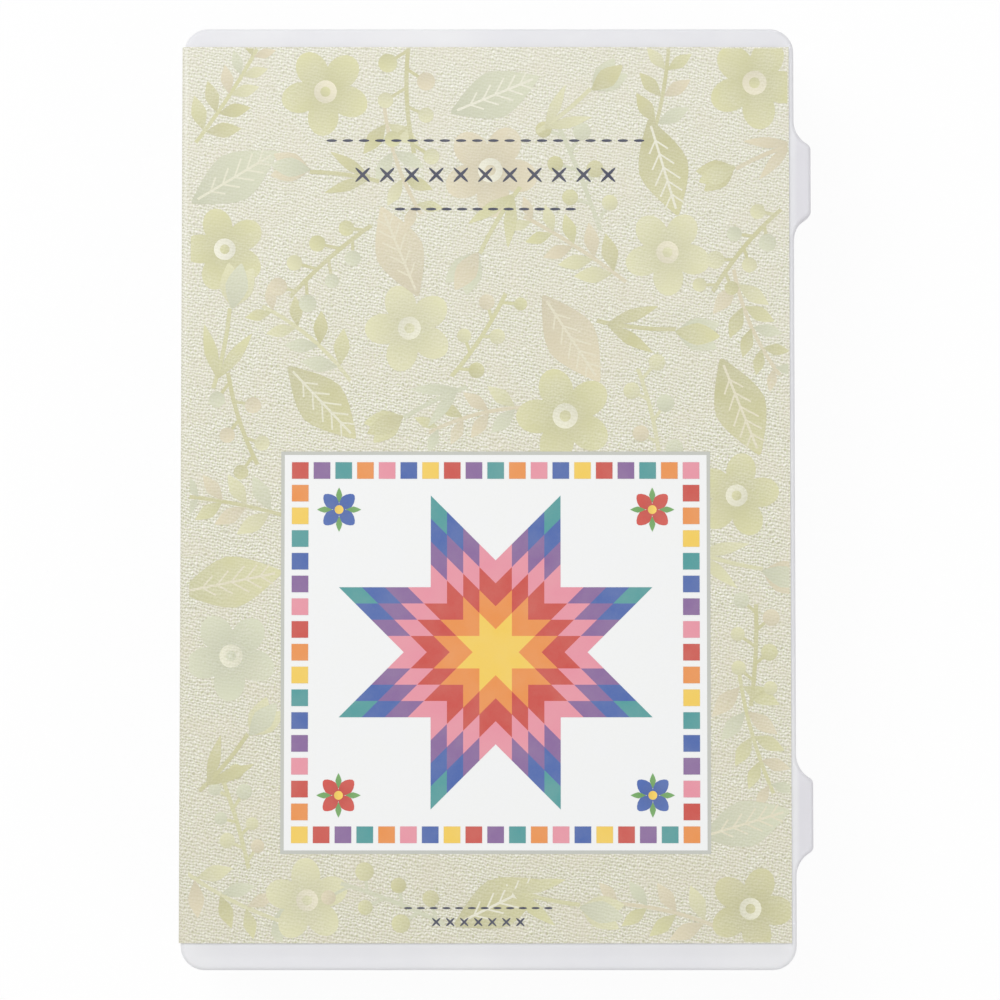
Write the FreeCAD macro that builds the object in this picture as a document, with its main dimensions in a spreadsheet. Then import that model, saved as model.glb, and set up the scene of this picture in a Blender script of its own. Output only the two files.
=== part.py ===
import FreeCAD, Part
import Sketcher
import math
import os

# A bobbin box lying on its base. X runs along its length, the latches face -Y, the hinge is at +Y.
# The origin is the middle of the underside.

COLUMNS = 6
LONG_COLUMN_INDEX = 3
BOBBIN_COUNT = 6
REAR_BOBBIN_COUNT = 5
LONG_BOBBIN_COUNT = 10
GRIP_COUNT = 3

doc = FreeCAD.newDocument("bobbin_box")
dims = doc.addObject("Spreadsheet::Sheet", "dims")

# Driving sizes in millimetres, and angles in degrees.
SIZES = {
    # paper bobbins
    "bobbin_width": 37,
    "bobbin_height": 38,
    "bobbin_bar": 8,
    "bobbin_notch": 7,
    "bobbin_fillet": 2,
    "bobbin_thickness": 0.8,
    "bobbin_gap": 0.15,
    "bobbin_side_room": 3.3,
    "bobbin_headroom": 2.5,
    "lean_first": 7,
    "lean_step": 3,
    "lean_change": 1.5,
    # base tray
    "row_depth": 63.2,
    "rear_row_depth": 42,
    "divider": 1.2,
    "base_wall": 2.6,
    "rear_wall": 4,
    "floor_thickness": 1.6,
    "corner_radius": 7,
    "edge_round": 1.2,
    "rim_rise": 2.5,
    "rim_clearance": 0.2,
    # lid
    "lid_depth": 9,
    "lid_wall": 1.4,
    "lid_top": 1.6,
    "parting_gap": 0.2,
    # hinge
    "hinge_from_end": 52.4,
    "hinge_inset": 1,
    "hinge_relief": 1.75,
    "knuckle_radius": 1.7,
    "base_knuckle": 8,
    "lid_knuckle": 12,
    "knuckle_gap": 0.4,
    "turning_gap": 0.3,
    "pin_radius": 0.8,
    "pin_fit": 0.03,
    "pin_end": 0.2,
    # latches
    "latch_from_end": 44.4,
    "latch_width": 15,
    "latch_reach": 4.9,
    "latch_plate": 1.8,
    "latch_pivot_reach": 2.6,
    "latch_pivot_rise": 4.6,
    "latch_drop": 9,
    "latch_round": 0.6,
    "grip_rise": 1.5,
    "grip_height": 0.8,
    "grip_pitch": 1.7,
    "grip_depth": 0.4,
    "grip_margin": 2,
    "hook_height": 1.8,
    "hook_rise": 0.8,
    "stub_radius": 1.1,
    "stub_length": 1.8,
    "stub_fit": 0.05,
    "ear_gap": 0.35,
    "ear_thickness": 2.4,
    "ear_flank": 7.3,
    "ear_drop": 3.3,
    "brow_round": 2,
    "catch_reach": 1.3,
    "catch_height": 1.8,
    "catch_gap": 0.3,
    # printed card and chart
    "card_thickness": 0.45,
    "card_gap": 0.1,
    "card_front_margin": 1.5,
    "card_left_margin": 7.8,
    "card_right_margin": 5.5,
    "card_flap_rise": 2.5,
    "chart_thickness": 0.3,
    "chart_margin": 2.5,
}
for row, (name, size) in enumerate(SIZES.items(), start=1):
    dims.set(f"A{row}", name)
    dims.set(f"B{row}", str(size))
    dims.setAlias(f"B{row}", name)
doc.recompute()

# Sizes that follow from the driving ones, as expressions.
COLUMN = "(dims.bobbin_width + 2 * dims.bobbin_side_room)"
HALF_LENGTH = f"(dims.base_wall + {COLUMNS} / 2 * {COLUMN} + ({COLUMNS} - 1) / 2 * dims.divider)"
WIDTH = ("(dims.base_wall + 2 * dims.row_depth + 2 * dims.divider"
         " + dims.rear_row_depth + dims.rear_wall)")
FRONT = f"(-{WIDTH} / 2)"
BACK = f"({WIDTH} / 2)"
TOP = ("(dims.floor_thickness + dims.bobbin_height + dims.bobbin_headroom"
       " + dims.chart_thickness + dims.lid_top)")
RIM = f"({TOP} - dims.lid_depth)"
LID_FOOT = f"({RIM} + dims.parting_gap)"
SHOULDER = "(dims.lid_wall + dims.rim_clearance)"
CELL_FRONT = f"({FRONT} + dims.base_wall)"
MIDDLE_DIVIDER = f"({CELL_FRONT} + dims.row_depth)"
REAR_DIVIDER = f"({MIDDLE_DIVIDER} + dims.divider + dims.row_depth)"
REAR_FACE = f"({BACK} - dims.rear_wall)"
HINGE_STATION = f"({HALF_LENGTH} - dims.hinge_from_end)"
HINGE_Y = f"({BACK} - dims.hinge_inset)"
TURNING_RADIUS = "(dims.knuckle_radius + dims.turning_gap)"
LATCH_STATION = f"({HALF_LENGTH} - dims.latch_from_end)"
PIVOT_Y = f"({FRONT} - dims.latch_pivot_reach)"
PIVOT_Z = f"({LID_FOOT} + dims.latch_pivot_rise)"
LATCH_TIP = f"({FRONT} - dims.latch_reach)"
FLANK_BEND = "((dims.ear_flank ^ 2 + dims.latch_reach ^ 2) / (2 * dims.latch_reach))"
HALF_BROW = "(dims.latch_width / 2 + dims.ear_gap + dims.ear_thickness)"
BROW_ROUND = "min(dims.brow_round; dims.ear_thickness)"
EAR_FOOT = f"({PIVOT_Z} - dims.ear_drop)"
PLATE_BOTTOM = f"({RIM} - dims.latch_drop)"
HOOK_TOP = f"({PLATE_BOTTOM} + dims.hook_rise + dims.hook_height)"


def value(expression):
    """The present number of an expression over the sheet."""
    return float(dims.evalExpression(expression))


def column_start(column):
    """Where a compartment begins along X."""
    pitch = f"({COLUMN} + dims.divider)"
    return f"(-{HALF_LENGTH} + dims.base_wall + {column} * {pitch})"


def place(solid, x, y, z):
    """Tie a solid's position to the sheet."""
    for axis, expression in zip("xyz", (x, y, z)):
        solid.setExpression(f"Placement.Base.{axis}", expression)
    return solid


def block(name, corner, size):
    """A rectangular block from its lowest corner."""
    solid = doc.addObject("Part::Box", name)
    for side, expression in zip(("Length", "Width", "Height"), size):
        solid.setExpression(side, expression)
    return place(solid, *corner)


def rod(name, radius, start, length):
    """A round bar along X."""
    solid = doc.addObject("Part::Cylinder", name)
    solid.setExpression("Radius", radius)
    solid.setExpression("Height", length)
    solid.Placement.Rotation = FreeCAD.Rotation(FreeCAD.Vector(0, 1, 0), 90)
    return place(solid, *start)


def fuse(name, solids):
    """One solid from several that overlap."""
    whole = doc.addObject("Part::MultiFuse", name)
    whole.Shapes = solids
    whole.Refine = True
    return whole


def cut(name, solid, tools):
    """A solid with the tools' space taken out."""
    rest = doc.addObject("Part::Cut", name)
    rest.Base = solid
    rest.Tool = tools[0] if len(tools) == 1 else fuse(name + "_tools", tools)
    rest.Refine = True
    return rest


def flat_sketch(body, name, plane, offset):
    """A sketch on one of the body's own planes, moved along the plane's normal."""
    sketch = body.newObject("Sketcher::SketchObject", name)
    origin = [item for item in body.Origin.OriginFeatures if item.Role == plane]
    sketch.AttachmentSupport = [(origin[0], "")]
    sketch.MapMode = "FlatFace"
    sketch.setExpression("AttachmentOffset.Base.z", offset)
    return sketch


def line(sketch, start, end):
    """Add a straight edge and return its number."""
    edge = Part.LineSegment(FreeCAD.Vector(*start, 0), FreeCAD.Vector(*end, 0))
    return sketch.addGeometry(edge)


def arc(sketch, centre, radius, first, last):
    """Add a round edge between two angles in degrees, anticlockwise, and return its number."""
    circle = Part.Circle(FreeCAD.Vector(*centre, 0), FreeCAD.Vector(0, 0, 1), radius)
    edge = Part.ArcOfCircle(circle, math.radians(first), math.radians(last))
    return sketch.addGeometry(edge)


def tie(sketch, name, expression, kind, *points):
    """A driving constraint bound to the sheet."""
    index = sketch.addConstraint(Sketcher.Constraint(kind, *points, value(expression)))
    sketch.renameConstraint(index, name)
    sketch.setExpression(f"Constraints.{name}", expression)


def hold(sketch, kind, *points):
    """A constraint without a size."""
    sketch.addConstraint(Sketcher.Constraint(kind, *points))


def rounded_outline(body, name, level, sides, radius):
    """A level rounded rectangle: sides are its distances left, right, front and back of the origin."""
    sketch = flat_sketch(body, name, "XY_Plane", level)
    left, right, front, back = (value(side) for side in sides)
    r = value(radius)
    line(sketch, (r - left, -front), (right - r, -front))
    arc(sketch, (right - r, r - front), r, 270, 360)
    line(sketch, (right, r - front), (right, back - r))
    arc(sketch, (right - r, back - r), r, 0, 90)
    line(sketch, (right - r, back), (r - left, back))
    arc(sketch, (r - left, back - r), r, 90, 180)
    line(sketch, (-left, back - r), (-left, r - front))
    arc(sketch, (r - left, r - front), r, 180, 270)
    for edge in range(8):
        hold(sketch, "Tangent", edge, 2, (edge + 1) % 8, 1)
    for level_edge, upright_edge in ((0, 2), (4, 6)):
        hold(sketch, "Horizontal", level_edge)
        hold(sketch, "Vertical", upright_edge)
    for corner in (3, 5, 7):
        hold(sketch, "Equal", 1, corner)
    tie(sketch, "corner", radius, "Radius", 1)
    tie(sketch, "to_left", sides[0], "DistanceX", 6, 1, -1, 1)
    tie(sketch, "to_right", sides[1], "DistanceX", -1, 1, 2, 1)
    tie(sketch, "to_front", sides[2], "DistanceY", 0, 1, -1, 1)
    tie(sketch, "to_back", sides[3], "DistanceY", -1, 1, 4, 1)
    return sketch


def inset_sides(offset):
    """Distances of an outline that lies inside the box's outer sides by the same offset."""
    along = f"{HALF_LENGTH} - {offset}"
    across = f"{WIDTH} / 2 - {offset}"
    return (along, along, across, across)


def pad(body, sketch, length, name):
    """Add material from a sketch along its normal."""
    feature = body.newObject("PartDesign::Pad", name)
    feature.Profile = sketch
    feature.setExpression("Length", length)
    doc.recompute()
    return feature


def pocket(body, sketch, length, name):
    """Take material away from a sketch along its normal, and make sure that some went."""
    before = body.Shape.Volume
    feature = body.newObject("PartDesign::Pocket", name)
    feature.Profile = sketch
    feature.Reversed = True
    feature.setExpression("Length", length)
    doc.recompute()
    if body.Shape.Volume >= before:
        raise RuntimeError(f"{name} removes nothing")
    return feature


def round_edges(body, feature, radius, name, wanted):
    """Round the edges of a feature that a test on their points picks."""
    names = []
    for number, edge in enumerate(feature.Shape.Edges, start=1):
        points = edge.discretize(5)
        if all(wanted(point) for point in points):
            names.append(f"Edge{number}")
    fillet = body.newObject("PartDesign::Fillet", name)
    fillet.Base = (feature, names)
    fillet.setExpression("Radius", radius)
    doc.recompute()
    return fillet


def new_body(name):
    return doc.addObject("PartDesign::Body", name)


def near(number, target):
    return abs(number - target) < 1e-6


def sides_of(name):
    """The two ends of the box: a name and the sign of X."""
    return ((f"{name}_left", -1), (f"{name}_right", 1))


# Hinge stations: along X a base knuckle, the lid's knuckle and a base knuckle, with gaps between.
HALF_STATION = "(dims.lid_knuckle / 2 + dims.knuckle_gap + dims.base_knuckle)"


def station(sign):
    return f"({sign} * {HINGE_STATION})"


def base_knuckle_starts(sign):
    """Where the two base knuckles of a station begin along X."""
    return (f"{station(sign)} - {HALF_STATION}",
            f"{station(sign)} + dims.lid_knuckle / 2 + dims.knuckle_gap")


def bores(name, fit):
    """The pin holes of both stations."""
    radius = f"dims.pin_radius + {fit}"
    holes = []
    for label, sign in sides_of(name):
        start = f"{station(sign)} - {HALF_STATION}"
        holes.append(rod(label, radius, (start, HINGE_Y, RIM), f"2 * {HALF_STATION}"))
    return holes


def base_knuckles():
    """Round knuckles on square feet, which fill the lowered rear shoulder under them."""
    foot_bottom = f"{RIM} - dims.hinge_relief"
    pieces = []
    for label, sign in sides_of("base_knuckle"):
        for number, start in enumerate(base_knuckle_starts(sign)):
            name = f"{label}_{number}"
            pieces.append(rod(name, "dims.knuckle_radius", (start, HINGE_Y, RIM),
                              "dims.base_knuckle"))
            pieces.append(block(name + "_foot", (start, f"{BACK} - {SHOULDER}", foot_bottom),
                                ("dims.base_knuckle", SHOULDER, "dims.hinge_relief")))
    return pieces


def lid_knuckle_rooms():
    """Round rooms in the base in which the lid's knuckles turn."""
    length = "dims.lid_knuckle + 2 * dims.knuckle_gap"
    rooms = []
    for label, sign in sides_of("lid_knuckle_room"):
        start = f"{station(sign)} - ({length}) / 2"
        rooms.append(rod(label, TURNING_RADIUS, (start, HINGE_Y, RIM), length))
    return rooms


def base_knuckle_rooms():
    """Notches in the lid's skirt that clear the base's knuckles."""
    length = "dims.base_knuckle + 2 * dims.knuckle_gap"
    rooms = []
    for label, sign in sides_of("base_knuckle_room"):
        for number, knuckle in enumerate(base_knuckle_starts(sign)):
            start = f"{knuckle} - dims.knuckle_gap"
            rooms.append(rod(f"{label}_{number}", TURNING_RADIUS, (start, HINGE_Y, RIM), length))
    return rooms


def lid_knuckles():
    pieces = []
    for label, sign in sides_of("lid_knuckle"):
        start = f"{station(sign)} - dims.lid_knuckle / 2"
        pieces.append(rod(label, "dims.knuckle_radius", (start, HINGE_Y, RIM), "dims.lid_knuckle"))
    return pieces


def hinge_pins():
    """A straight pin through each station, just short of its ends."""
    pins = []
    length = f"2 * {HALF_STATION} - 2 * dims.pin_end"
    for label, sign in sides_of("hinge_pin"):
        start = f"{station(sign)} - ({length}) / 2"
        pins.append(rod(label, "dims.pin_radius", (start, HINGE_Y, RIM), length))
    return pins


def tray_shell():
    """The tray without dividers: a floor, walls, and a thin lip inside the rim for the lid."""
    body = new_body("tray_shell")
    outline = rounded_outline(body, "tray_outline", "0", inset_sides("0"), "dims.corner_radius")
    walls = pad(body, outline, RIM, "tray_walls")
    round_edges(body, walls, "dims.edge_round", "tray_edge", lambda point: near(point.z, 0))
    lip_outline = rounded_outline(body, "lip_outline", "dims.floor_thickness", inset_sides(SHOULDER),
                                  f"dims.corner_radius - {SHOULDER}")
    pad(body, lip_outline, f"{RIM} + dims.rim_rise - dims.floor_thickness", "rim_lip")
    along = f"{HALF_LENGTH} - dims.base_wall"
    inside = (along, along, f"{WIDTH} / 2 - dims.base_wall", f"{WIDTH} / 2 - dims.rear_wall")
    hollow = rounded_outline(body, "tray_hollow", "dims.floor_thickness", inside,
                             "dims.corner_radius - dims.base_wall")
    pocket(body, hollow, f"{RIM} + dims.rim_rise", "tray_inside")
    return body


def dividers():
    """Upright panels from the floor to the rim, rooted in the floor and the walls."""
    root = "dims.floor_thickness / 2"
    rise = f"{RIM} - {root}"
    across = f"{WIDTH} - dims.base_wall / 2 - dims.rear_wall / 2"
    panels = []
    for column in range(1, COLUMNS):
        start = (f"{column_start(column)} - dims.divider", f"{FRONT} + dims.base_wall / 2", root)
        panels.append(block(f"column_divider_{column}", start, ("dims.divider", across, rise)))
    left = f"(-{HALF_LENGTH} + dims.base_wall / 2)"
    full = f"2 * {HALF_LENGTH} - dims.base_wall"
    panels.append(block("rear_divider", (left, REAR_DIVIDER, root), (full, "dims.divider", rise)))
    left_part = f"{column_start(LONG_COLUMN_INDEX)} - dims.divider / 2 - {left}"
    panels.append(block("middle_divider_left", (left, MIDDLE_DIVIDER, root),
                        (left_part, "dims.divider", rise)))
    right_start = f"{column_start(LONG_COLUMN_INDEX + 1)} - dims.divider / 2"
    right_part = f"{HALF_LENGTH} - dims.base_wall / 2 - ({right_start})"
    panels.append(block("middle_divider_right", (right_start, MIDDLE_DIVIDER, root),
                        (right_part, "dims.divider", rise)))
    return panels


def catches():
    """A rib on the front wall over each latch hook, rooted in the wall."""
    ribs = []
    for label, sign in sides_of("catch"):
        start = f"{sign} * {LATCH_STATION} - dims.latch_width / 2"
        ribs.append(block(label, (start, f"{FRONT} - dims.catch_reach", f"{HOOK_TOP} + dims.catch_gap"),
                          ("dims.latch_width", "dims.catch_reach + dims.base_wall / 2",
                           "dims.catch_height")))
    return ribs


def base_tray():
    whole = fuse("tray_with_dividers", [tray_shell()] + dividers() + catches())
    relief = block("rear_shoulder_relief",
                   (f"-{HALF_LENGTH}", f"{BACK} - {SHOULDER}", f"{RIM} - dims.hinge_relief"),
                   (f"2 * {HALF_LENGTH}", SHOULDER, "dims.hinge_relief"))
    lowered = cut("tray_with_relief", whole, [relief])
    hinged = fuse("tray_with_knuckles", [lowered] + base_knuckles())
    return cut("base_tray", hinged, lid_knuckle_rooms() + bores("base_bore", "dims.pin_fit"))


def brow_outline(body, name, sign):
    """The edge of the lid's top over a latch: a flat end between two hollow flanks."""
    sketch = flat_sketch(body, name + "_outline", "XY_Plane", f"{TOP} - dims.lid_top")
    middle = f"({sign} * {LATCH_STATION})"
    left, right = f"({middle} - {HALF_BROW})", f"({middle} + {HALF_BROW})"
    left_foot, right_foot = f"({left} - dims.ear_flank)", f"({right} + dims.ear_flank)"
    root = f"({FRONT} + dims.lid_wall)"
    x_left, x_right, y_root = value(left), value(right), value(root)
    x_first, x_last = value(left_foot), value(right_foot)
    y_tip, y_front, r = value(LATCH_TIP), value(FRONT), value(FLANK_BEND)
    swing = math.degrees(math.asin((x_last - x_right) / r))
    line(sketch, (x_left, y_tip), (x_right, y_tip))
    arc(sketch, (x_last, y_front - r), r, 90, 90 + swing)
    line(sketch, (x_last, y_front), (x_last, y_root))
    line(sketch, (x_last, y_root), (x_first, y_root))
    line(sketch, (x_first, y_root), (x_first, y_front))
    arc(sketch, (x_first, y_front - r), r, 90 - swing, 90)
    for first, first_end, second, second_end in ((0, 2, 1, 2), (1, 1, 2, 1), (2, 2, 3, 1),
                                                 (3, 2, 4, 1), (4, 2, 5, 2), (5, 1, 0, 1)):
        hold(sketch, "Coincident", first, first_end, second, second_end)
    for level_edge, upright_edge in ((0, 2), (3, 4)):
        hold(sketch, "Horizontal", level_edge)
        hold(sketch, "Vertical", upright_edge)
    hold(sketch, "Vertical", 1, 3, 2, 1)
    hold(sketch, "Vertical", 5, 3, 4, 2)
    hold(sketch, "Horizontal", 2, 1, 4, 2)
    tie(sketch, "left", f"{sign} * {left}", "DistanceX", *signed(sign, 0, 1))
    tie(sketch, "right", f"{sign} * {right}", "DistanceX", *signed(sign, 0, 2))
    tie(sketch, "left_foot", f"{sign} * {left_foot}", "DistanceX", *signed(sign, 4, 2))
    tie(sketch, "right_foot", f"{sign} * {right_foot}", "DistanceX", *signed(sign, 2, 1))
    tie(sketch, "tip", f"-{LATCH_TIP}", "DistanceY", 0, 1, -1, 1)
    tie(sketch, "front", f"-{FRONT}", "DistanceY", 2, 1, -1, 1)
    tie(sketch, "root", f"-{root}", "DistanceY", 3, 1, -1, 1)
    return sketch


def lid_shell():
    """A shallow cap with a round top edge, which juts out in a brow over each latch."""
    body = new_body("lid_shell")
    outline = rounded_outline(body, "lid_outline", LID_FOOT, inset_sides("0"), "dims.corner_radius")
    pad(body, outline, f"{TOP} - {LID_FOOT}", "lid_cap")
    for label, sign in sides_of("brow"):
        browed = pad(body, brow_outline(body, label, sign), "dims.lid_top", label)
    tip, top, station_x, half_brow = (value(size) for size in (LATCH_TIP, TOP, LATCH_STATION, HALF_BROW))

    def brow_corner(point):
        return near(point.y, tip) and near(abs(abs(point.x) - station_x), half_brow)

    softened = round_edges(body, browed, BROW_ROUND, "brow_corners", brow_corner)
    round_edges(body, softened, "dims.edge_round", "lid_edge", lambda point: near(point.z, top))
    hollow = rounded_outline(body, "lid_hollow", LID_FOOT, inset_sides("dims.lid_wall"),
                             "dims.corner_radius - dims.lid_wall")
    pocket(body, hollow, f"{TOP} - dims.lid_top - {LID_FOOT}", "lid_inside")
    return body


def ear(name, latch_sign, side):
    """A lug under the brow beside a latch, with the brow's flank on its far side."""
    body = new_body(name)
    sketch = flat_sketch(body, name + "_profile", "XY_Plane", EAR_FOOT)
    inner = f"({latch_sign} * {LATCH_STATION} + {side} * (dims.latch_width / 2 + dims.ear_gap))"
    flat_end = f"({inner} + {side} * dims.ear_thickness)"
    foot = f"({flat_end} + {side} * dims.ear_flank)"
    root = f"({FRONT} + dims.lid_wall / 2)"
    x_in, x_flat, x_foot = value(inner), value(flat_end), value(foot)
    y_root, y_tip, y_front, r = value(root), value(LATCH_TIP), value(FRONT), value(FLANK_BEND)
    swing = math.degrees(math.asin((x_foot - x_flat) * side / r))
    first, last = (90, 90 + swing) if side > 0 else (90 - swing, 90)
    line(sketch, (x_in, y_root), (x_in, y_tip))
    line(sketch, (x_in, y_tip), (x_flat, y_tip))
    arc(sketch, (x_foot, y_front - r), r, first, last)
    line(sketch, (x_foot, y_front), (x_foot, y_root))
    line(sketch, (x_foot, y_root), (x_in, y_root))
    flank_start, flank_end = (2, 1) if side > 0 else (1, 2)
    hold(sketch, "Coincident", 0, 2, 1, 1)
    hold(sketch, "Coincident", 1, 2, 2, flank_start)
    hold(sketch, "Coincident", 2, flank_end, 3, 1)
    hold(sketch, "Coincident", 3, 2, 4, 1)
    hold(sketch, "Coincident", 4, 2, 0, 1)
    for edge in (0, 3):
        hold(sketch, "Vertical", edge)
    for edge in (1, 4):
        hold(sketch, "Horizontal", edge)
    hold(sketch, "Vertical", 2, 3, 3, 1)
    tie(sketch, "inner_face", f"{latch_sign} * {inner}", "DistanceX", *signed(latch_sign, 0, 1))
    tie(sketch, "flat_end", f"{latch_sign} * {flat_end}", "DistanceX", *signed(latch_sign, 1, 2))
    tie(sketch, "foot", f"{latch_sign} * {foot}", "DistanceX", *signed(latch_sign, 3, 1))
    tie(sketch, "root", f"-{root}", "DistanceY", 0, 1, -1, 1)
    tie(sketch, "tip", f"-{LATCH_TIP}", "DistanceY", 0, 2, -1, 1)
    tie(sketch, "front", f"-{FRONT}", "DistanceY", 3, 1, -1, 1)
    lug = pad(body, sketch, f"{TOP} - (dims.lid_top + dims.edge_round) / 2 - {EAR_FOOT}", name + "_lug")
    round_edges(body, lug, BROW_ROUND, name + "_corner",
                lambda point: near(point.x, x_flat) and near(point.y, y_tip))
    return body


def signed(sign, edge, end):
    """Points of a distance along X between the origin and a point on the given side of it."""
    return (-1, 1, edge, end) if sign > 0 else (edge, end, -1, 1)


def ears():
    lugs = []
    for label, latch_sign in sides_of("latch_ear"):
        lugs.append(ear(label + "_outer", latch_sign, latch_sign))
        lugs.append(ear(label + "_inner", latch_sign, -latch_sign))
    return lugs


def ear_sockets():
    """Blind holes on each latch's axis, through the gap and into both ears."""
    length = "dims.latch_width + 2 * (dims.stub_length + dims.ear_gap)"
    sockets = []
    for label, sign in sides_of("ear_socket"):
        start = f"{sign} * {LATCH_STATION} - ({length}) / 2"
        sockets.append(rod(label, "dims.stub_radius + dims.stub_fit", (start, PIVOT_Y, PIVOT_Z), length))
    return sockets


def lid():
    notched = cut("lid_notched", lid_shell(), base_knuckle_rooms())
    whole = fuse("lid_with_knuckles", [notched] + lid_knuckles() + ears())
    return cut("lid", whole, ear_sockets() + bores("lid_bore", "2 * dims.pin_fit"))


def grip_grooves(label, start):
    """Level grooves across the lower face of a clip, where a finger lifts it."""
    grooves = []
    for number in range(GRIP_COUNT):
        bottom = f"{PLATE_BOTTOM} + dims.grip_rise + {number} * dims.grip_pitch"
        grooves.append(block(f"{label}_groove_{number}", (f"{start} + dims.grip_margin", LATCH_TIP, bottom),
                             ("dims.latch_width - 2 * dims.grip_margin", "dims.grip_depth",
                              "dims.grip_height")))
    return grooves


def latch_clip(label, sign):
    """A clip that hangs from its own stubs in the lid's ears and hooks under a catch."""
    middle = f"{sign} * {LATCH_STATION}"
    start = f"{middle} - dims.latch_width / 2"
    barrel = rod(label + "_barrel", "dims.latch_reach - dims.latch_pivot_reach",
                 (start, PIVOT_Y, PIVOT_Z), "dims.latch_width")
    plate = block(label + "_plate", (start, LATCH_TIP, PLATE_BOTTOM),
                  ("dims.latch_width", "dims.latch_plate", f"{PIVOT_Z} - {PLATE_BOTTOM}"))
    hook = block(label + "_hook", (start, LATCH_TIP, f"{PLATE_BOTTOM} + dims.hook_rise"),
                 ("dims.latch_width", "dims.latch_reach - dims.catch_reach - dims.catch_gap",
                  "dims.hook_height"))
    stub_span = "dims.latch_width + 2 * dims.stub_length"
    stubs = rod(label + "_stubs", "dims.stub_radius",
                (f"{middle} - ({stub_span}) / 2", PIVOT_Y, PIVOT_Z), stub_span)
    plain = fuse(label + "_plain", [barrel, plate, hook, stubs])
    sharp = cut(label + "_sharp", plain, grip_grooves(label, start))
    doc.recompute()
    bottom = value(PLATE_BOTTOM)
    rounded = doc.addObject("Part::Fillet", label)
    rounded.Base = sharp
    radius = value("min(dims.latch_round; dims.latch_plate / 3)")
    picked = []
    for number, edge in enumerate(sharp.Shape.Edges, start=1):
        if all(near(point.z, bottom) for point in edge.discretize(3)):
            picked.append((number, radius, radius))
    rounded.Edges = picked
    return rounded


def printed_card():
    """A folded card: a panel on the lid, and a flap down the hinge side over a round fold."""
    body = new_body("printed_card")
    sketch = flat_sketch(body, "card_profile", "YZ_Plane", f"-{HALF_LENGTH} + dims.card_left_margin")
    front = f"({FRONT} + dims.card_front_margin)"
    fold_y = f"({BACK} - dims.edge_round)"
    fold_z = f"({TOP} - dims.edge_round)"
    flap = f"({RIM} + dims.card_flap_rise)"
    inner = "(dims.edge_round + dims.card_gap)"
    outer = f"({inner} + dims.card_thickness)"
    y_front, y_fold, z_fold, z_flap = value(front), value(fold_y), value(fold_z), value(flap)
    r_in, r_out = value(inner), value(outer)
    line(sketch, (y_front, z_fold + r_in), (y_fold, z_fold + r_in))
    arc(sketch, (y_fold, z_fold), r_in, 0, 90)
    line(sketch, (y_fold + r_in, z_fold), (y_fold + r_in, z_flap))
    line(sketch, (y_fold + r_in, z_flap), (y_fold + r_out, z_flap))
    line(sketch, (y_fold + r_out, z_flap), (y_fold + r_out, z_fold))
    arc(sketch, (y_fold, z_fold), r_out, 0, 90)
    line(sketch, (y_fold, z_fold + r_out), (y_front, z_fold + r_out))
    line(sketch, (y_front, z_fold + r_out), (y_front, z_fold + r_in))
    for first, first_end, second, second_end in ((0, 2, 1, 2), (1, 1, 2, 1), (4, 2, 5, 1), (5, 2, 6, 1)):
        hold(sketch, "Tangent", first, first_end, second, second_end)
    for first, second in ((2, 3), (3, 4), (6, 7), (7, 0)):
        hold(sketch, "Coincident", first, 2, second, 1)
    for edge in (0, 3, 6):
        hold(sketch, "Horizontal", edge)
    for edge in (2, 4, 7):
        hold(sketch, "Vertical", edge)
    hold(sketch, "Coincident", 1, 3, 5, 3)
    tie(sketch, "inside_bend", inner, "Radius", 1)
    tie(sketch, "outside_bend", outer, "Radius", 5)
    tie(sketch, "front_edge", f"-{front}", "DistanceX", 7, 1, -1, 1)
    tie(sketch, "fold_across", fold_y, "DistanceX", -1, 1, 1, 3)
    tie(sketch, "fold_height", fold_z, "DistanceY", -1, 1, 1, 3)
    tie(sketch, "flap_edge", flap, "DistanceY", -1, 1, 3, 1)
    pad(body, sketch, f"2 * {HALF_LENGTH} - dims.card_left_margin - dims.card_right_margin", "card_sheet")
    return body


def reference_chart():
    """A ruled card that lies against the inside of the lid's top."""
    offset = "(dims.lid_wall + dims.chart_margin)"
    corner = (f"-{HALF_LENGTH} + {offset}", f"{FRONT} + {offset}",
              f"{TOP} - dims.lid_top - dims.chart_thickness")
    return block("reference_chart", corner, (f"2 * {HALF_LENGTH} - 2 * {offset}",
                                             f"{WIDTH} - 2 * {offset}", "dims.chart_thickness"))


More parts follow.
